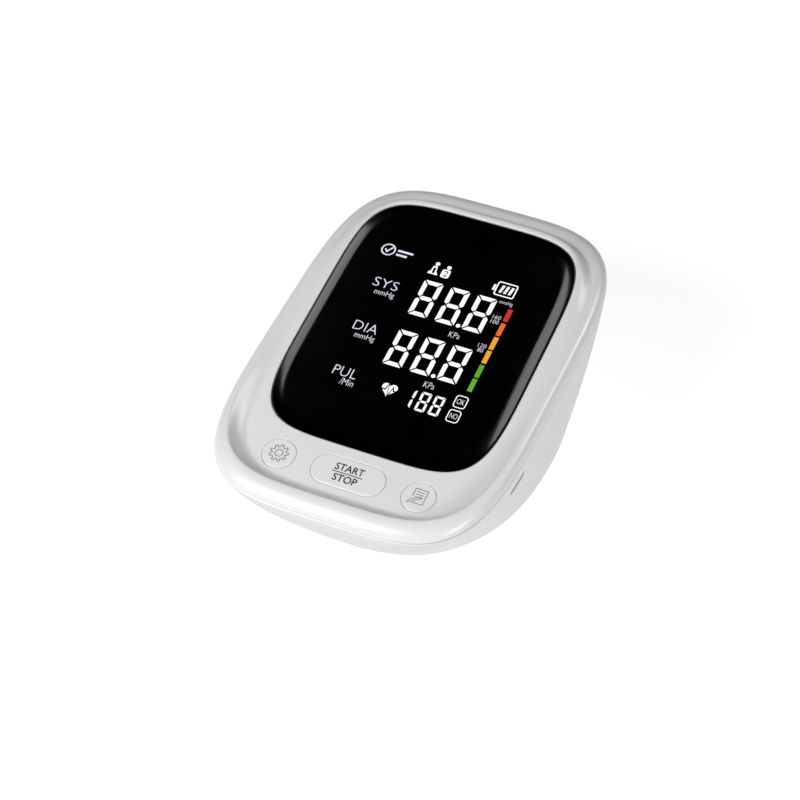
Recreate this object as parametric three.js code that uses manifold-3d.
// Upper arm blood pressure monitor, main unit.
// Millimetres, +Z up, +Y towards the rear, +X to the user's right.
// Origin: on the table plane under the middle of the case.

import * as THREE from 'three';
import { mergeVertices } from 'three/addons/utils/BufferGeometryUtils.js';
import Module from 'manifold-3d';

const wasm = await Module();
wasm.setup();

// ---------------------------------------------------------------- driving dimensions

const DEGREE = Math.PI / 180;
const GAP = 0.3;                       // clearance between separate pieces
const WALL = 2.2;                      // moulded wall thickness
const FACE_WALL = 3.0;                 // thicker floor of the display face
const RING_POINTS = 48;                // points round a case outline

// Case: a rounded box whose upper edge slopes down to the front.
const CASE_HALF_WIDTH = 48.6;
const CASE_HALF_LENGTH = 69.05;
const BASE_Z = 1.2;                    // underside of the case, above the feet
const PARTING_Z = 37.14;               // height of the parting line at the origin
const PARTING_SLOPE = Math.tan(9.1 * DEGREE);
const RIM_POWER = 4.15;                // squareness of the outline at the parting line
const BASE_POWER = 2.35;               // squareness of the outline at the base
const WALL_CURVE = 1.46;               // how fast the wall tucks in below the parting line
const TUCK_SIDE = 3.85;
const TUCK_REAR = 10.0;
const TUCK_FRONT = 17.3;
const BASE_EDGE = 1.1;                 // rounding of the lowest edge

// Rim: the rounded crest round the top face.
const CREST_Z = 41.35;
const CREST_SLOPE = Math.tan(9.55 * DEGREE);
const CREST_HALF_WIDTH = 45.8;
const CREST_FRONT = -63.65;
const CREST_REAR = 61.45;
const CREST_POWER = 4.1;

// Display face: a flat plane inside the rim, tilted towards the user.
const FACE_TILT = 14.0 * DEGREE;
const FACE_Y = 7.55;                   // centre of the display lens
const FACE_Z = 42.35;
const FLOOR_HALF_WIDTH = 39.6;
const FLOOR_FRONT = -56.45;
const FLOOR_REAR = 55.95;
const FLOOR_POWER = 5.0;

// Display lens.
const LENS_HALF_WIDTH = 38.5;
const LENS_HALF_LENGTH = 48.6;
const LENS_POWER = 5.05;
const LENS_PROUD = 0.55;
const LENS_BEVEL = 1.6;
const LENS_SEAT = -1.5;
const WINDOW_HALF_WIDTH = 32.0;
const WINDOW_HALF_LENGTH = 34.0;
const WINDOW_CORNER = 3.0;
const ABOVE_FACE = 6.0;                // upper end of the cuts made through the display face
const BELOW_FACE = -12.0;              // their lower end
const FILM_THICK = 0.3;

// Buttons, in the plane of the display face.
const BUTTON_ROW = -58.5;
const BUTTON_RADIUS = 5.3;
const BUTTON_OFFSET = 23.6;
const START_HALF_STRAIGHT = 6.9;
const BUTTON_PROUD = 0.25;
const BUTTON_FLANGE = 1.2;             // the flange keeps a button from falling out
const BUTTON_TRAVEL = 0.8;
const FLANGE_TOP = -FACE_WALL - GAP;
const FLANGE_BOTTOM = FLANGE_TOP - 1.0;

// Circuit board, below and parallel to the display face.
const BOARD_TOP = -8.5;
const BOARD_THICK = 1.6;
const BOARD_HALF_WIDTH = 31.0;
const BOARD_REAR = 39.5;
const BOARD_FRONT = -65.5;
const UNDER_BOARD = BOARD_TOP - BOARD_THICK - GAP;
const BOARD_NECK = -47.0;              // the board is narrower in front of this line
const BOARD_NECK_HALF_WIDTH = 29.0;
const BOARD_SCREWS = {
  rear_left: [-25, 36.8],
  rear_right: [25, 36.8],
  front_left: [-27.5, -43],
  front_right: [27.5, -43],
};
const BOARD_SCREW_BORE = 1.2;
const BOARD_SCREW_HEAD = 2.0;

// Press switches, standing on the board under the buttons.
const SWITCH_TOP = FLANGE_BOTTOM - BUTTON_TRAVEL - 1.1;
const SWITCH_BOTTOM = BOARD_TOP + GAP;
const SWITCH_HALF = 3.0;
const PLUNGER_RADIUS = 1.6;

// Light frame behind the lens, with a pocket for each digit.
const FRAME_HALF_WIDTH = 29.5;
const FRAME_HALF_LENGTH = 32.0;
const DIGIT_ROWS = [19.2, -4.0];
const DIGIT_PITCH = 9.4;
const FIRST_DIGIT_X = -11.2;
const POCKET_FLOOR = BOARD_TOP + 1.5;

// Pressure sensor, under the board.
const SENSOR_X = -10.0;
const SENSOR_V = 8.0;
const SENSOR_HALF = 4.0;
const SENSOR_HEIGHT = 5.0;
const SENSOR_NOZZLE_W = UNDER_BOARD - 3.0;

// Battery bay, open at the underside.
const CELL_RADIUS = 7.1;
const CELL_LENGTH = 49.2;
const CELL_PITCH = 14.7;
const FIRST_CELL_Y = -29.7;
const CELL_Z = 10.8;
const CELL_SIGNS = [1, -1, 1, -1];     // the side that each positive cap faces, from the front
const CELL_CAP_LENGTH = 1.3;
const CELL_CAP_RADIUS = 2.75;
const BAY_HALF_WIDTH = 28.5;
const BAY_FRONT = -37.6;
const BAY_REAR = 22.0;
const BAY_TOP = 18.3;
const BAY_WALL = 1.6;
const CONTACT_THICK = 0.5;
const CONTACT_HALF = 4.5;              // half width of a contact plate

// Battery door and its hinge.
const DOOR_THICK = 2.0;
const DOOR_HINGE_Y = -35.5;
const DOOR_HINGE_Z = 3.0;
const DOOR_BARREL = 1.8;
const DOOR_PIN = 0.8;

// Pump, lying across the rear of the case.
const PUMP_Y = 36.5;
const PUMP_Z = 15.6;
const PUMP_RADIUS = 11.0;
const PUMP_WALL = 1.0;
const SHAFT_RADIUS = 1.2;
const SHAFT_HOLE = 1.6;
const ROTOR_RADIUS = 8.5;
const CRANK_RADIUS = 4.0;
const CRANK_OFFSET = 1.5;              // throw of the crank that works the pump's bellows

// Exhaust valve, standing at the left.
const VALVE_X = -37.2;
const VALVE_Y = -5.0;
const VALVE_BOTTOM = 5.0;
const VALVE_TOP = 19.0;
const VALVE_RADIUS = 5.2;
const VALVE_BORE = 2.6;
const VALVE_NOZZLE_Z = 9.0;

// Air line.
const AIR_SOCKET_X = -CASE_HALF_WIDTH + 2.4;
const AIR_SOCKET_Y = 10.0;
const AIR_SOCKET_Z = 23.0;
const AIR_SOCKET_RADIUS = 5.6;
const AIR_SOCKET_LENGTH = 9.0;
const PLUG_RADIUS = 3.2;               // bore that takes the cuff hose's plug
const PLUG_DEPTH = 7.6;
const NOZZLE_RADIUS = 1.1;
const AIRWAY_RADIUS = 0.6;
const HOSE_RADIUS = 2.2;
const HOSE_BORE = 1.65;
const TEE = { x: -26, y: 20, z: 22.5 };
const TEE_HALF = 2.5;
const TEE_REACH = 5.5;

// Power socket, in the frame of the display face.
const POWER_SOCKET_V = -39.4;
const POWER_SOCKET_W = -6.6;
const POWER_SOCKET_HALF_WIDTH = 4.5;
const POWER_SOCKET_HALF_HEIGHT = 1.6;
const POWER_SOCKET_WALL = 0.35;

// Feet and screws.
const FEET = {
  front_left: [-16, -43.3],
  front_right: [16, -43.3],
  rear_left: [-33, 33],
  rear_right: [33, 33],
};
const FOOT_RADIUS = 3.5;
const FOOT_SINK = 0.7;                 // depth of the pockets that hold the feet
const SCREWS = {
  front_left: [-35.5, -22, 21],
  front_right: [35.5, -22, 21],
  rear_left: [-18, 52.2, 30],
  rear_right: [18, 52.2, 30],
};                                     // x, y and the height where the two covers' bosses meet
const CASE_SCREW_BORE = 1.5;
const CASE_SCREW_HEAD = 2.4;
const CASE_SCREW_SINK = 1.9;           // depth of the pockets that hold the screw heads

// ---------------------------------------------------------------- materials

function plastic(color, roughness = 0.4) {
  return new THREE.MeshStandardMaterial({ color, roughness, metalness: 0 });
}

function metal(color, roughness = 0.35) {
  return new THREE.MeshStandardMaterial({ color, roughness, metalness: 1 });
}

const WHITE = 0xe9e8e6;
const BLACK = 0x060607;
const BOARD_GREEN = 0x1f5a35;
const STEEL = 0xb8babd;
const RUBBER = 0x3a3a3c;
const TUBE_CLEAR = 0xd9dcd8;

// ---------------------------------------------------------------- solids and booleans

function toSolid(geometry) {
  const bare = geometry.index ? geometry.clone() : mergeVertices(geometry.clone());
  bare.deleteAttribute('normal');
  bare.deleteAttribute('uv');
  const merged = mergeVertices(bare, 1e-4);
  const mesh = new wasm.Mesh({
    numProp: 3,
    vertProperties: new Float32Array(merged.attributes.position.array),
    triVerts: new Uint32Array(merged.index.array),
  });
  return new wasm.Manifold(mesh);
}

function toGeometry(solid) {
  const mesh = solid.getMesh();
  const geometry = new THREE.BufferGeometry();
  geometry.setAttribute('position', new THREE.BufferAttribute(mesh.vertProperties, 3));
  geometry.setIndex(new THREE.BufferAttribute(mesh.triVerts, 1));
  geometry.computeVertexNormals();
  return geometry;
}

function join(...geometries) {
  const solids = geometries.map(toSolid);
  return toGeometry(solids.reduce((sum, solid) => sum.add(solid)));
}

function cut(geometry, ...tools) {
  const solids = tools.map(toSolid);
  return toGeometry(solids.reduce((left, tool) => left.subtract(tool), toSolid(geometry)));
}

// ---------------------------------------------------------------- basic shapes

function block(x0, x1, y0, y1, z0, z1) {
  const geometry = new THREE.BoxGeometry(x1 - x0, y1 - y0, z1 - z0);
  return geometry.translate((x0 + x1) / 2, (y0 + y1) / 2, (z0 + z1) / 2);
}

// Upright cylinder; the second radius is the upper one.
function post(x, y, z0, z1, radius, topRadius = radius, sides = 24) {
  const geometry = new THREE.CylinderGeometry(topRadius, radius, z1 - z0, sides);
  geometry.rotateX(Math.PI / 2);
  return geometry.translate(x, y, (z0 + z1) / 2);
}

// Cylinder with few sides, used for small screw holes.
function bore(x, y, z0, z1, radius) {
  return post(x, y, z0, z1, radius, radius, 12);
}

// Cylinder along X.
function axle(x0, x1, y, z, radius, sides = 24) {
  const geometry = new THREE.CylinderGeometry(radius, radius, x1 - x0, sides);
  geometry.rotateZ(-Math.PI / 2);
  return geometry.translate((x0 + x1) / 2, y, z);
}

// Flat plate with a given outline, from z0 to z1.
function plate(shape, z0, z1, curveSegments = 10) {
  const geometry = new THREE.ExtrudeGeometry(shape, { depth: z1 - z0, bevelEnabled: false, curveSegments });
  return geometry.translate(0, 0, z0);
}

function roundedRectangle(x0, x1, y0, y1, radius) {
  const shape = new THREE.Shape();
  shape.moveTo(x0 + radius, y0);
  shape.lineTo(x1 - radius, y0);
  shape.absarc(x1 - radius, y0 + radius, radius, -Math.PI / 2, 0, false);
  shape.lineTo(x1, y1 - radius);
  shape.absarc(x1 - radius, y1 - radius, radius, 0, Math.PI / 2, false);
  shape.lineTo(x0 + radius, y1);
  shape.absarc(x0 + radius, y1 - radius, radius, Math.PI / 2, Math.PI, false);
  shape.lineTo(x0, y0 + radius);
  shape.absarc(x0 + radius, y0 + radius, radius, Math.PI, 1.5 * Math.PI, false);
  return shape;
}

// Closed outline |x/a|^power + |y/b|^power = 1, with its height given by a function of y.
function outline(halfWidth, front, rear, power, height) {
  const middle = (front + rear) / 2;
  const halfLength = (rear - front) / 2;
  const bend = (value) => Math.sign(value) * Math.abs(value) ** (2 / power);
  return Array.from({ length: RING_POINTS }, (_, index) => {
    const angle = (index + 0.5) * 2 * Math.PI / RING_POINTS;
    const y = middle + halfLength * bend(Math.sin(angle));
    return new THREE.Vector3(halfWidth * bend(Math.cos(angle)), y, height(y));
  });
}

// Closed solid through a stack of outlines, each end closed by a fan.
function loft(rings) {
  const count = rings[0].length;
  const centre = (ring) => ring.reduce((sum, p) => sum.add(p), new THREE.Vector3()).divideScalar(count);
  const points = [...rings.flat(), centre(rings[0]), centre(rings[rings.length - 1])];
  const bottom = points.length - 2;
  const top = points.length - 1;
  const faces = [];
  for (let side = 0; side < count; side += 1) {
    const next = (side + 1) % count;
    faces.push(bottom, next, side);
    for (let level = 0; level + 1 < rings.length; level += 1) {
      const low = level * count;
      const high = low + count;
      faces.push(low + side, low + next, high + next, low + side, high + next, high + side);
    }
    const last = (rings.length - 1) * count;
    faces.push(top, last + side, last + next);
  }
  const geometry = new THREE.BufferGeometry().setFromPoints(points);
  geometry.setIndex(faces);
  geometry.computeVertexNormals();
  return geometry;
}

// Hose or wire along a smooth curve; an inner radius makes it hollow.
function hose(points, radius, innerRadius = 0, steps = 12, curveSegments = 4) {
  const path = new THREE.CatmullRomCurve3(points.map((p) => new THREE.Vector3(...p)));
  const section = new THREE.Shape().absarc(0, 0, radius, 0, 2 * Math.PI, false);
  if (innerRadius > 0) {
    section.holes.push(new THREE.Path().absarc(0, 0, innerRadius, 0, 2 * Math.PI, true));
  }
  return new THREE.ExtrudeGeometry(section, { steps, extrudePath: path, curveSegments });
}

// ---------------------------------------------------------------- scene graph

const monitor = new THREE.Group();
monitor.name = 'blood_pressure_monitor';

// Local frame of the display face: x right, y up the slope, z out of the face.
const face = new THREE.Group();
face.position.set(0, FACE_Y, FACE_Z);
face.rotation.x = FACE_TILT;
face.updateMatrix();
monitor.add(face);

function add(group, name, geometry, material) {
  const mesh = new THREE.Mesh(geometry, material);
  mesh.name = name;
  group.add(mesh);
  return mesh;
}

function fromFace(geometry) {
  return geometry.clone().applyMatrix4(face.matrix);
}

// ---------------------------------------------------------------- case surfaces

const partingHeight = (y) => PARTING_Z + PARTING_SLOPE * y;
const crestHeight = (y) => CREST_Z + CREST_SLOPE * y;
const faceHeight = (y) => FACE_Z + Math.tan(FACE_TILT) * (y - FACE_Y);
const mix = (from, to, share) => from + (to - from) * share;

// Outline of the lower wall at a level from 0 (base) to 1 (parting line), moved in by an offset.
function wallOutline(level, offset, rise = 0) {
  const tuck = (1 - level) ** WALL_CURVE;
  return outline(
    CASE_HALF_WIDTH - TUCK_SIDE * tuck - offset,
    -CASE_HALF_LENGTH + TUCK_FRONT * tuck + offset,
    CASE_HALF_LENGTH - TUCK_REAR * tuck - offset,
    mix(BASE_POWER, RIM_POWER, level),
    (y) => mix(BASE_Z, partingHeight(y), level) + rise,
  );
}

// Stack of outlines over the rim and down to the display face, moved in and down by an offset.
function rimOutlines(offset) {
  const rings = [];
  const rollSteps = 4;
  for (let step = 0; step <= rollSteps; step += 1) {
    const angle = step / rollSteps * Math.PI / 2;
    const inward = 1 - Math.cos(angle);
    const side = offset * Math.cos(angle);
    rings.push(outline(
      mix(CASE_HALF_WIDTH, CREST_HALF_WIDTH, inward) - side,
      mix(-CASE_HALF_LENGTH, CREST_FRONT, inward) + side,
      mix(CASE_HALF_LENGTH, CREST_REAR, inward) - side,
      mix(RIM_POWER, CREST_POWER, inward),
      (y) => mix(partingHeight(y), crestHeight(y), Math.sin(angle)) - offset * Math.sin(angle),
    ));
  }
  const dishSteps = 4;
  for (let step = 1; step <= dishSteps; step += 1) {
    const share = step / dishSteps;
    const blend = (1 - Math.cos(Math.PI * share)) / 2;
    rings.push(outline(
      mix(CREST_HALF_WIDTH, FLOOR_HALF_WIDTH, share),
      mix(CREST_FRONT, FLOOR_FRONT, share),
      mix(CREST_REAR, FLOOR_REAR, share),
      mix(CREST_POWER, FLOOR_POWER, share),
      (y) => mix(crestHeight(y), faceHeight(y), blend) - offset * mix(1, FACE_WALL / WALL, share),
    ));
  }
  return rings;
}

function lensOutline(inset, z) {
  return outline(
    LENS_HALF_WIDTH - inset,
    -LENS_HALF_LENGTH + inset,
    LENS_HALF_LENGTH - inset,
    LENS_POWER,
    () => z,
  );
}

function stadium(radius) {
  return roundedRectangle(
    -START_HALF_STRAIGHT - radius,
    START_HALF_STRAIGHT + radius,
    BUTTON_ROW - radius,
    BUTTON_ROW + radius,
    radius,
  );
}

function disc(x, radius) {
  return new THREE.Shape().absarc(x, BUTTON_ROW, radius, 0, 2 * Math.PI, false);
}

const BUTTONS = {
  settings: { x: -BUTTON_OFFSET, shape: (grow) => disc(-BUTTON_OFFSET, BUTTON_RADIUS + grow), arc: 10 },
  start_stop: { x: 0, shape: (grow) => stadium(BUTTON_RADIUS + grow), arc: 3 },
  memory: { x: BUTTON_OFFSET, shape: (grow) => disc(BUTTON_OFFSET, BUTTON_RADIUS + grow), arc: 10 },
};

// ---------------------------------------------------------------- top cover

function topCover() {
  const skin = [...rimOutlines(WALL).reverse(), ...rimOutlines(0)];
  const shell = loft(skin.map((ring) => ring.map((p) => p.setZ(p.z + GAP / 2))));
  const bosses = Object.values(SCREWS).map(([x, y, seam]) => {
    return post(x, y, seam + GAP, faceHeight(y) - WALL / 2, CASE_SCREW_BORE + 1.3);
  });
  const boardPosts = Object.values(BOARD_SCREWS).map(([x, v]) => {
    return fromFace(post(x, v, BOARD_TOP + GAP, LENS_SEAT - 0.5, BOARD_SCREW_BORE + 1));
  });
  const recess = loft([lensOutline(-GAP, LENS_SEAT), lensOutline(-GAP, ABOVE_FACE)]);
  const window = plate(roundedRectangle(
    -WINDOW_HALF_WIDTH,
    WINDOW_HALF_WIDTH,
    -WINDOW_HALF_LENGTH,
    WINDOW_HALF_LENGTH,
    WINDOW_CORNER,
  ), BELOW_FACE, ABOVE_FACE, 3);
  const buttonHoles = Object.values(BUTTONS).map((button) => {
    return plate(button.shape(GAP), -2 * FACE_WALL, ABOVE_FACE, button.arc);
  });
  const boardHoles = Object.values(BOARD_SCREWS).map(([x, v]) => {
    return bore(x, v, BOARD_TOP, -FACE_WALL - 0.5, BOARD_SCREW_BORE);
  });
  const screwHoles = Object.values(SCREWS).map(([x, y, seam]) => {
    return bore(x, y, seam, seam + 8, CASE_SCREW_BORE);
  });
  return cut(
    join(shell, ...bosses, ...boardPosts),
    ...[recess, window, ...buttonHoles, ...boardHoles].map(fromFace),
    ...screwHoles,
  );
}

add(monitor, 'top_cover', topCover(), plastic(WHITE, 0.3));

// ---------------------------------------------------------------- bottom cover

// Block with the power socket's outline, grown on every side.
function powerSocketBlock(x0, x1, grow) {
  return block(
    x0,
    x1,
    POWER_SOCKET_V - POWER_SOCKET_HALF_WIDTH - grow,
    POWER_SOCKET_V + POWER_SOCKET_HALF_WIDTH + grow,
    POWER_SOCKET_W - POWER_SOCKET_HALF_HEIGHT - grow,
    POWER_SOCKET_W + POWER_SOCKET_HALF_HEIGHT + grow,
  );
}

function bottomCover() {
  const levels = [0.03, 0.12, 0.26, 0.42, 0.6, 0.8, 1];
  const outerRings = [wallOutline(0, BASE_EDGE), ...levels.map((level) => wallOutline(level, 0))];
  const innerLevels = levels.slice(1);
  const innerRings = [
    wallOutline(0, WALL + BASE_EDGE, WALL),
    ...innerLevels.map((level) => wallOutline(level, WALL)),
  ];
  for (const ring of [outerRings[outerRings.length - 1], innerRings[innerRings.length - 1]]) {
    ring.forEach((p) => p.setZ(p.z - GAP / 2));
  }
  const shell = loft([...outerRings, ...innerRings.reverse()]);
  const bay = block(
    -BAY_HALF_WIDTH - BAY_WALL,
    BAY_HALF_WIDTH + BAY_WALL,
    BAY_FRONT - BAY_WALL,
    BAY_REAR + BAY_WALL,
    BASE_Z + WALL / 2,
    BAY_TOP + 1.2,
  );
  const posts = Object.values(SCREWS).map(([x, y, seam]) => {
    return post(x, y, BASE_Z + WALL / 2, seam, CASE_SCREW_BORE + 1.7);
  });
  const bayHollow = block(-BAY_HALF_WIDTH, BAY_HALF_WIDTH, BAY_FRONT, BAY_REAR, 0, BAY_TOP);
  const pinReach = BAY_HALF_WIDTH + 1;
  const pinPocket = axle(-pinReach, pinReach, DOOR_HINGE_Y, DOOR_HINGE_Z, DOOR_PIN + GAP, 12);
  const screwBores = Object.values(SCREWS).flatMap(([x, y, seam]) => [
    bore(x, y, 0, seam + 1, CASE_SCREW_BORE),
    post(x, y, 0, BASE_Z + CASE_SCREW_SINK, CASE_SCREW_HEAD + 0.4, undefined, 16),
  ]);
  const footPockets = Object.values(FEET).map(([x, y]) => {
    return post(x, y, 0, BASE_Z + FOOT_SINK, FOOT_RADIUS + GAP);
  });
  const airHole = axle(-60, -40, AIR_SOCKET_Y, AIR_SOCKET_Z, AIR_SOCKET_RADIUS + GAP);
  const powerHole = fromFace(powerSocketBlock(43, 60, GAP));
  return cut(
    join(shell, bay, ...posts),
    bayHollow,
    pinPocket,
    airHole,
    powerHole,
    ...screwBores,
    ...footPockets,
  );
}

add(monitor, 'bottom_cover', bottomCover(), plastic(WHITE, 0.4));

// ---------------------------------------------------------------- display lens and buttons

function displayLens() {
  return loft([
    lensOutline(0, LENS_SEAT + GAP),
    lensOutline(0, 0.05),
    lensOutline(LENS_BEVEL * 0.35, LENS_PROUD * 0.75),
    lensOutline(LENS_BEVEL, LENS_PROUD),
  ]);
}

add(face, 'display_lens', displayLens(), plastic(BLACK, 0.08));

function buttonCap(button) {
  return join(
    plate(button.shape(-0.25), BUTTON_PROUD - 0.4, BUTTON_PROUD, button.arc),
    plate(button.shape(0), FLANGE_BOTTOM, BUTTON_PROUD - 0.3, button.arc),
    plate(button.shape(BUTTON_FLANGE), FLANGE_BOTTOM, FLANGE_TOP, button.arc),
  );
}

function switchBody(x) {
  const body = block(
    x - SWITCH_HALF,
    x + SWITCH_HALF,
    BUTTON_ROW - SWITCH_HALF,
    BUTTON_ROW + SWITCH_HALF,
    SWITCH_BOTTOM,
    SWITCH_TOP,
  );
  return cut(body, post(x, BUTTON_ROW, SWITCH_BOTTOM + 0.6, 0, PLUNGER_RADIUS + GAP, undefined, 16));
}

function switchPlunger(x) {
  return post(x, BUTTON_ROW, SWITCH_TOP - 0.5, FLANGE_BOTTOM - GAP, PLUNGER_RADIUS, undefined, 16);
}

for (const [name, button] of Object.entries(BUTTONS)) {
  add(face, `${name}_button`, buttonCap(button), plastic(WHITE, 0.35));
  add(face, `${name}_switch_plunger`, switchPlunger(button.x), plastic(0x1b1b1d, 0.5));
  add(face, `${name}_switch`, switchBody(button.x), metal(0x9a9c9f, 0.45));
}

// ---------------------------------------------------------------- circuit board and display

function mainBoard() {
  const bottom = BOARD_TOP - BOARD_THICK;
  const board = join(
    block(-BOARD_HALF_WIDTH, BOARD_HALF_WIDTH, BOARD_NECK - 1, BOARD_REAR, bottom, BOARD_TOP),
    block(-BOARD_NECK_HALF_WIDTH, BOARD_NECK_HALF_WIDTH, BOARD_FRONT, BOARD_NECK, bottom, BOARD_TOP),
    block(BOARD_HALF_WIDTH - 1, 41, BOARD_NECK + 1, BOARD_NECK + 10, bottom, BOARD_TOP),
  );
  const holes = Object.values(BOARD_SCREWS).map(([x, v]) => {
    return bore(x, v, bottom - 1, BOARD_TOP + 1, BOARD_SCREW_BORE);
  });
  return cut(board, ...holes);
}

function boardScrew([x, v]) {
  return join(
    post(x, v, UNDER_BOARD - 1.3, UNDER_BOARD, BOARD_SCREW_HEAD, undefined, 16),
    bore(x, v, UNDER_BOARD - 0.5, -FACE_WALL - 1.2, BOARD_SCREW_BORE - GAP),
  );
}

// White frame whose pockets hold the light from each digit apart.
function ledReflector() {
  const body = block(
    -FRAME_HALF_WIDTH,
    FRAME_HALF_WIDTH,
    -FRAME_HALF_LENGTH,
    FRAME_HALF_LENGTH,
    BOARD_TOP + GAP,
    LENS_SEAT - 3 * FILM_THICK,
  );
  const pockets = [];
  for (const row of DIGIT_ROWS) {
    for (let digit = 0; digit < 3; digit += 1) {
      const x = FIRST_DIGIT_X + DIGIT_PITCH * digit;
      pockets.push(block(x, x + 7, row - 7, row + 7, POCKET_FLOOR, 0));
    }
  }
  const levelBar = block(17, 25, -19, 18, POCKET_FLOOR, 0);
  const pulseRow = block(-3, 16, -27.5, -17, POCKET_FLOOR, 0);
  return cut(body, ...pockets, levelBar, pulseRow);
}

// Dark film between the light frame and the lens, inside the window.
function diffuserFilm() {
  return block(
    1 - WINDOW_HALF_WIDTH,
    WINDOW_HALF_WIDTH - 1,
    1 - WINDOW_HALF_LENGTH,
    WINDOW_HALF_LENGTH - 1,
    LENS_SEAT - 2 * FILM_THICK,
    LENS_SEAT - FILM_THICK,
  );
}

add(face, 'main_board', mainBoard(), plastic(BOARD_GREEN, 0.5));
add(face, 'led_reflector', ledReflector(), plastic(0xdcdcd8, 0.5));
add(face, 'diffuser_film', diffuserFilm(), plastic(0x101012, 0.6));

for (const [place, spot] of Object.entries(BOARD_SCREWS)) {
  add(face, `board_screw_${place}`, boardScrew(spot), metal(STEEL, 0.3));
}

add(face, 'control_chip', block(4, 16, -4, 8, UNDER_BOARD - 1.4, UNDER_BOARD), plastic(0x151517, 0.5));
add(face, 'buzzer', post(0, -60, UNDER_BOARD - 5, UNDER_BOARD, 4.7), plastic(0x121213, 0.5));

// Power socket at the right edge of the board: a steel tube with a contact tongue inside.
function powerSocket() {
  const shell = powerSocketBlock(39, 47, 0);
  const mouth = powerSocketBlock(40, 48, -POWER_SOCKET_WALL);
  const tongue = block(
    39.5,
    45.5,
    POWER_SOCKET_V - POWER_SOCKET_HALF_WIDTH + 1.2,
    POWER_SOCKET_V + POWER_SOCKET_HALF_WIDTH - 1.2,
    POWER_SOCKET_W - POWER_SOCKET_WALL,
    POWER_SOCKET_W + POWER_SOCKET_WALL,
  );
  return join(cut(shell, mouth), tongue);
}

add(face, 'power_socket', powerSocket(), metal(STEEL, 0.3));

// Pressure sensor with its nozzle pointing left.
function pressureSensor() {
  const body = block(
    SENSOR_X - SENSOR_HALF,
    SENSOR_X + SENSOR_HALF,
    SENSOR_V - SENSOR_HALF,
    SENSOR_V + SENSOR_HALF,
    UNDER_BOARD - SENSOR_HEIGHT,
    UNDER_BOARD,
  );
  const nozzle = axle(SENSOR_X - 9, SENSOR_X - 3, SENSOR_V, SENSOR_NOZZLE_W, NOZZLE_RADIUS, 16);
  const airway = axle(SENSOR_X - 10, SENSOR_X - 2, SENSOR_V, SENSOR_NOZZLE_W, AIRWAY_RADIUS, 10);
  return cut(join(body, nozzle), airway);
}

add(face, 'pressure_sensor', pressureSensor(), plastic(0x1c1c1f, 0.5));

// ---------------------------------------------------------------- battery bay

// One AA cell along X; sign +1 puts its positive cap at +X.
function cell(y, sign) {
  const half = CELL_LENGTH / 2;
  const tip = half + CELL_CAP_LENGTH;
  const cap = sign > 0 ? [half - 1, tip] : [-tip, 1 - half];
  return join(axle(-half, half, y, CELL_Z, CELL_RADIUS), axle(...cap, y, CELL_Z, CELL_CAP_RADIUS, 16));
}

const cellY = (index) => FIRST_CELL_Y + CELL_PITCH * index;

CELL_SIGNS.forEach((sign, index) => {
  add(monitor, `battery_cell_${index + 1}`, cell(cellY(index), sign), metal(0x7d8287, 0.4));
});

// Contact plate at one end of the bay; a dimple meets a positive cap and a coil a negative end.
function contact(end, cells) {
  const outer = BAY_HALF_WIDTH - GAP;
  const inner = outer - CONTACT_THICK;
  const spanX = end > 0 ? [inner, outer] : [-outer, -inner];
  const front = cellY(cells[0]) - CONTACT_HALF;
  const rear = cellY(cells[cells.length - 1]) + CONTACT_HALF;
  const parts = [block(...spanX, front, rear, CELL_Z - CONTACT_HALF, CELL_Z + CONTACT_HALF)];
  for (const index of cells) {
    const positive = CELL_SIGNS[index] === end;
    const reach = CELL_LENGTH / 2 + GAP + (positive ? CELL_CAP_LENGTH : 0);
    const spanOut = end > 0 ? [reach, inner + 0.2] : [-inner - 0.2, -reach];
    if (positive) {
      parts.push(axle(...spanOut, cellY(index), CELL_Z, 2.0, 12));
    } else {
      parts.push(coil(end * (inner + 0.1), end * (reach + 0.4), cellY(index)));
    }
  }
  return join(...parts);
}

// Conical contact spring, narrowing towards the cell.
function coil(fromX, toX, y) {
  const turns = 2;
  const points = Array.from({ length: 8 * turns + 1 }, (_, step) => {
    const share = step / (8 * turns);
    const angle = 2 * Math.PI * turns * share;
    const radius = mix(3.6, 1.9, share);
    return [mix(fromX, toX, share), y + radius * Math.cos(angle), CELL_Z + radius * Math.sin(angle)];
  });
  return hose(points, 0.32, 0, 10 * turns, 3);
}

const CONTACTS = {
  left_front: [-1, [0]],
  left_middle: [-1, [1, 2]],
  left_rear: [-1, [3]],
  right_front: [1, [0, 1]],
  right_rear: [1, [2, 3]],
};

for (const [name, [end, cells]] of Object.entries(CONTACTS)) {
  add(monitor, `battery_contact_${name}`, contact(end, cells), metal(STEEL, 0.3));
}

function batteryDoor() {
  const halfWidth = BAY_HALF_WIDTH - GAP;
  const panel = block(-halfWidth, halfWidth, DOOR_HINGE_Y, BAY_REAR - GAP, BASE_Z, BASE_Z + DOOR_THICK);
  const barrel = axle(-halfWidth, halfWidth, DOOR_HINGE_Y, DOOR_HINGE_Z, DOOR_BARREL);
  const pins = axle(-halfWidth - 0.8, halfWidth + 0.8, DOOR_HINGE_Y, DOOR_HINGE_Z, DOOR_PIN, 12);
  const latch = block(-6, 6, BAY_REAR - 1.9, BAY_REAR - 0.7, BASE_Z + 1, BASE_Z + 5.4);
  const fingerDip = block(-7, 7, BAY_REAR - 4.5, BAY_REAR - 2.5, 0, BASE_Z + 0.9);
  return cut(join(panel, barrel, pins, latch), fingerDip);
}

add(monitor, 'battery_door', batteryDoor(), plastic(WHITE, 0.45));

// ---------------------------------------------------------------- pump

function lathedAlongX(profile, segments = 24) {
  const points = profile.map(([x, radius]) => new THREE.Vector2(radius, x));
  const geometry = new THREE.LatheGeometry(points, segments);
  geometry.rotateZ(-Math.PI / 2);
  return geometry;
}

const pump = new THREE.Group();
pump.position.set(0, PUMP_Y, PUMP_Z);
monitor.add(pump);

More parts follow.
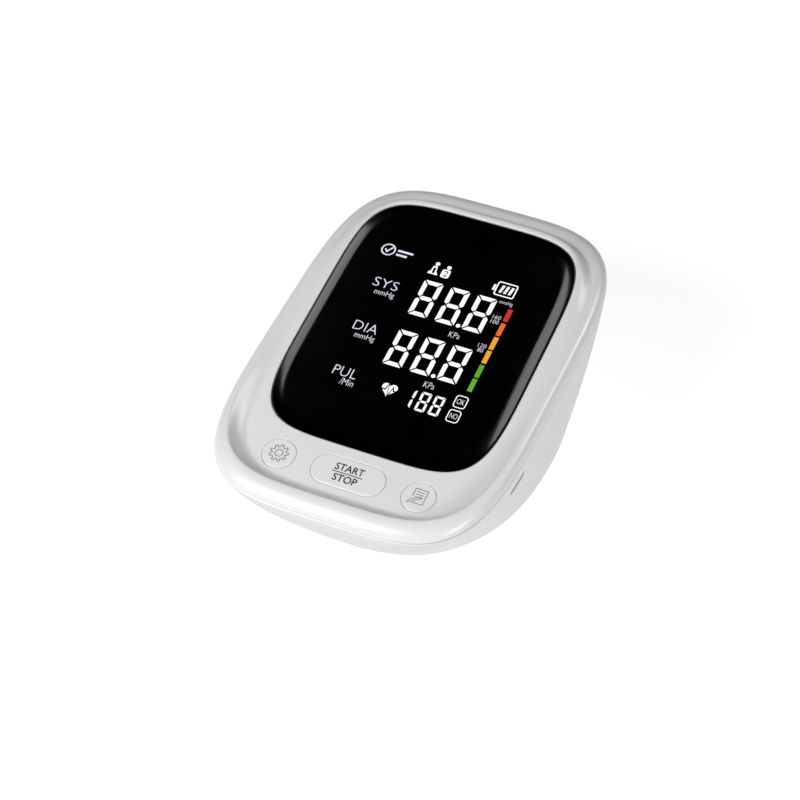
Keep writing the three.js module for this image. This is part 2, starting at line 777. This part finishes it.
// Motor can, open at the right, with a shaft hole at the left.
const motorCan = lathedAlongX([
  [-2, SHAFT_HOLE],
  [-2, PUMP_RADIUS],
  [24, PUMP_RADIUS],
  [24, PUMP_RADIUS - PUMP_WALL],
  [-1, PUMP_RADIUS - PUMP_WALL],
  [-1, SHAFT_HOLE],
  [-2, SHAFT_HOLE],
]);
const motorCap = lathedAlongX([
  [24 + GAP, SHAFT_HOLE],
  [24 + GAP, PUMP_RADIUS],
  [26, PUMP_RADIUS],
  [26, SHAFT_HOLE],
  [24 + GAP, SHAFT_HOLE],
]);
const rotorBody = lathedAlongX([
  [-18, 0],
  [-18, SHAFT_RADIUS],
  [2, SHAFT_RADIUS],
  [2, ROTOR_RADIUS],
  [20, ROTOR_RADIUS],
  [20, SHAFT_RADIUS],
  [25.5, SHAFT_RADIUS],
  [25.5, 0],
]);
const crank = axle(-14, -10, CRANK_OFFSET, 0, CRANK_RADIUS);
const head = lathedAlongX([
  [-28, AIRWAY_RADIUS],
  [-28, NOZZLE_RADIUS],
  [-23, NOZZLE_RADIUS],
  [-23, PUMP_RADIUS],
  [-2 - GAP, PUMP_RADIUS],
  [-2 - GAP, PUMP_RADIUS - 2 * PUMP_WALL],
  [-20.5, PUMP_RADIUS - 2 * PUMP_WALL],
  [-20.5, AIRWAY_RADIUS],
  [-28, AIRWAY_RADIUS],
]);

add(pump, 'pump_motor_can', motorCan, metal(0xa7a9ac, 0.35));
add(pump, 'pump_end_cap', motorCap, plastic(0x1a1a1b, 0.5));
add(pump, 'pump_rotor', join(rotorBody, crank), metal(0x8a6a4a, 0.45));
add(pump, 'pump_head', head, plastic(0x2a2b2e, 0.45));

// Foam cradle round the lower half of the pump.
function pumpCradle() {
  const halfWidth = PUMP_RADIUS + 1.2;
  const body = block(-14, 18, -halfWidth, halfWidth, BASE_Z + WALL + GAP - PUMP_Z, -3);
  return cut(body, axle(-20, 20, 0, 0, PUMP_RADIUS + GAP, 32));
}

add(pump, 'pump_cradle', pumpCradle(), plastic(0x55565a, 0.95));

// ---------------------------------------------------------------- exhaust valve

const valve = new THREE.Group();
valve.position.set(VALVE_X, VALVE_Y, 0);
monitor.add(valve);

function alongY(geometry, x, y, z) {
  return geometry.rotateZ(Math.PI / 2).translate(x, y, z);
}

function valveBody() {
  const can = post(0, 0, VALVE_BOTTOM, VALVE_TOP, VALVE_RADIUS);
  const nozzle = alongY(axle(4, 10, 0, 0, NOZZLE_RADIUS, 16), 0, 0, VALVE_NOZZLE_Z);
  const hollow = post(0, 0, VALVE_BOTTOM + 1, VALVE_TOP + 1, VALVE_BORE);
  const airway = alongY(axle(1, 11, 0, 0, AIRWAY_RADIUS, 10), 0, 0, VALVE_NOZZLE_Z);
  return cut(join(can, nozzle), hollow, airway);
}

function valvePlunger() {
  return join(
    post(0, 0, VALVE_BOTTOM + 7.5, VALVE_TOP + 2.5, 1.4, undefined, 16),
    post(0, 0, VALVE_BOTTOM + 7.5, VALVE_BOTTOM + 10, VALVE_BORE - GAP, undefined, 20),
  );
}

function valveSpring() {
  const low = VALVE_BOTTOM + 1.6;
  const high = VALVE_BOTTOM + 6.9;
  const turns = 4;
  const points = Array.from({ length: 8 * turns + 1 }, (_, step) => {
    const angle = 2 * Math.PI * step / 8;
    return [1.8 * Math.cos(angle), 1.8 * Math.sin(angle), mix(low, high, step / (8 * turns))];
  });
  return hose(points, 0.25, 0, 9 * turns, 3);
}

add(valve, 'exhaust_valve_body', valveBody(), metal(0x9fa2a6, 0.4));
add(valve, 'exhaust_valve_plunger', valvePlunger(), metal(0xc2b06a, 0.35));
add(valve, 'exhaust_valve_spring', valveSpring(), metal(STEEL, 0.3));

// ---------------------------------------------------------------- air line

// Cuff socket in the left wall, with a barb for the inner hose.
function airSocket() {
  const along = (from, to, radius, sides) => {
    return axle(AIR_SOCKET_X + from, AIR_SOCKET_X + to, AIR_SOCKET_Y, AIR_SOCKET_Z, radius, sides);
  };
  const body = along(0, AIR_SOCKET_LENGTH, AIR_SOCKET_RADIUS, 28);
  const barb = along(AIR_SOCKET_LENGTH - 1, AIR_SOCKET_LENGTH + 5, NOZZLE_RADIUS, 16);
  const plugBore = along(-1, PLUG_DEPTH, PLUG_RADIUS, 24);
  const airway = along(PLUG_DEPTH - 0.6, AIR_SOCKET_LENGTH + 6, AIRWAY_RADIUS, 10);
  return cut(join(body, barb), plugBore, airway);
}

add(monitor, 'air_socket', airSocket(), plastic(0xcfd0ce, 0.4));

// Four-way joiner between socket, pump, valve and sensor.
function airTee() {
  const { x, y, z } = TEE;
  return join(
    block(x - TEE_HALF, x + TEE_HALF, y - TEE_HALF, y + TEE_HALF, z - TEE_HALF, z + TEE_HALF),
    axle(x - TEE_REACH, x, y, z, NOZZLE_RADIUS, 16),
    alongY(axle(-TEE_REACH, TEE_REACH, 0, 0, NOZZLE_RADIUS, 16), x, y, z),
    post(x, y, z, z + TEE_REACH, NOZZLE_RADIUS, undefined, 16),
  );
}

add(monitor, 'air_tee', airTee(), plastic(0xe2e2e0, 0.45));

// The middle of the sensor's nozzle, in the frame of the case.
const sensorNozzle = new THREE.Vector3(SENSOR_X - 6, SENSOR_V, SENSOR_NOZZLE_W).applyMatrix4(face.matrix);

const HOSES = {
  socket: [
    [-36.7, AIR_SOCKET_Y, AIR_SOCKET_Z],
    [-32, AIR_SOCKET_Y, AIR_SOCKET_Z],
    [-27.6, AIR_SOCKET_Y + 1.5, TEE.z + 0.3],
    [TEE.x, TEE.y - 6, TEE.z],
    [TEE.x, TEE.y - 3, TEE.z],
  ],
  pump: [
    [TEE.x, TEE.y + 3, TEE.z],
    [TEE.x, TEE.y + 6, TEE.z],
    [TEE.x - 3, TEE.y + 11, TEE.z],
    [-34, PUMP_Y - 1, PUMP_Z + 3.5],
    [-30.5, PUMP_Y, PUMP_Z],
    [-27, PUMP_Y, PUMP_Z],
    [-23.5, PUMP_Y, PUMP_Z],
  ],
  valve: [
    [TEE.x - 3, TEE.y, TEE.z],
    [TEE.x - 7, TEE.y, TEE.z],
    [VALVE_X + 0.7, TEE.y - 1.5, TEE.z - 4.5],
    [VALVE_X, TEE.y - 6, VALVE_NOZZLE_Z + 2.5],
    [VALVE_X, VALVE_Y + 14, VALVE_NOZZLE_Z],
    [VALVE_X, VALVE_Y + 6, VALVE_NOZZLE_Z],
  ],
  sensor: [
    [TEE.x, TEE.y, TEE.z + 3],
    [TEE.x, TEE.y - 0.2, TEE.z + 6],
    [TEE.x + 1.3, TEE.y - 0.8, TEE.z + 8.2],
    [TEE.x + 5, sensorNozzle.y, sensorNozzle.z],
    [sensorNozzle.x + 1.5, sensorNozzle.y, sensorNozzle.z],
  ],
};

for (const [name, points] of Object.entries(HOSES)) {
  add(monitor, `hose_${name}`, hose(points, HOSE_RADIUS, HOSE_BORE), plastic(TUBE_CLEAR, 0.35));
}

// ---------------------------------------------------------------- wires, feet and screws

const LEADS = { red: [4, 0xa32020], black: [-4, 0x151515] };

for (const [name, [shift, color]] of Object.entries(LEADS)) {
  const points = [
    [26.6, PUMP_Y + shift, PUMP_Z + 3],
    [30.5, PUMP_Y + shift, PUMP_Z + 8],
    [30, PUMP_Y + shift - 2, PUMP_Z + 17],
    [27, PUMP_Y + shift - 4, PUMP_Z + 20.2],
  ];
  add(monitor, `pump_lead_${name}`, hose(points, 0.6, 0, 10, 3), plastic(color, 0.5));
}

for (const [place, [x, y]] of Object.entries(FEET)) {
  const foot = post(x, y, 0, BASE_Z + 0.4, FOOT_RADIUS - 0.4, FOOT_RADIUS);
  add(monitor, `foot_${place}`, foot, plastic(RUBBER, 0.85));
}

function caseScrew([x, y, seam]) {
  const headTop = BASE_Z + CASE_SCREW_SINK - GAP;
  const head = post(x, y, BASE_Z + 0.2, headTop, CASE_SCREW_HEAD, undefined, 20);
  const shank = bore(x, y, headTop - 0.5, seam + 6.5, CASE_SCREW_BORE - 0.4);
  const slot = (reachX, reachY) => block(x - reachX, x + reachX, y - reachY, y + reachY, 0, BASE_Z + 1);
  return cut(join(head, shank), slot(1.5, 0.3), slot(0.3, 1.5));
}

for (const [place, spot] of Object.entries(SCREWS)) {
  add(monitor, `case_screw_${place}`, caseScrew(spot), metal(STEEL, 0.3));
}

export default monitor;
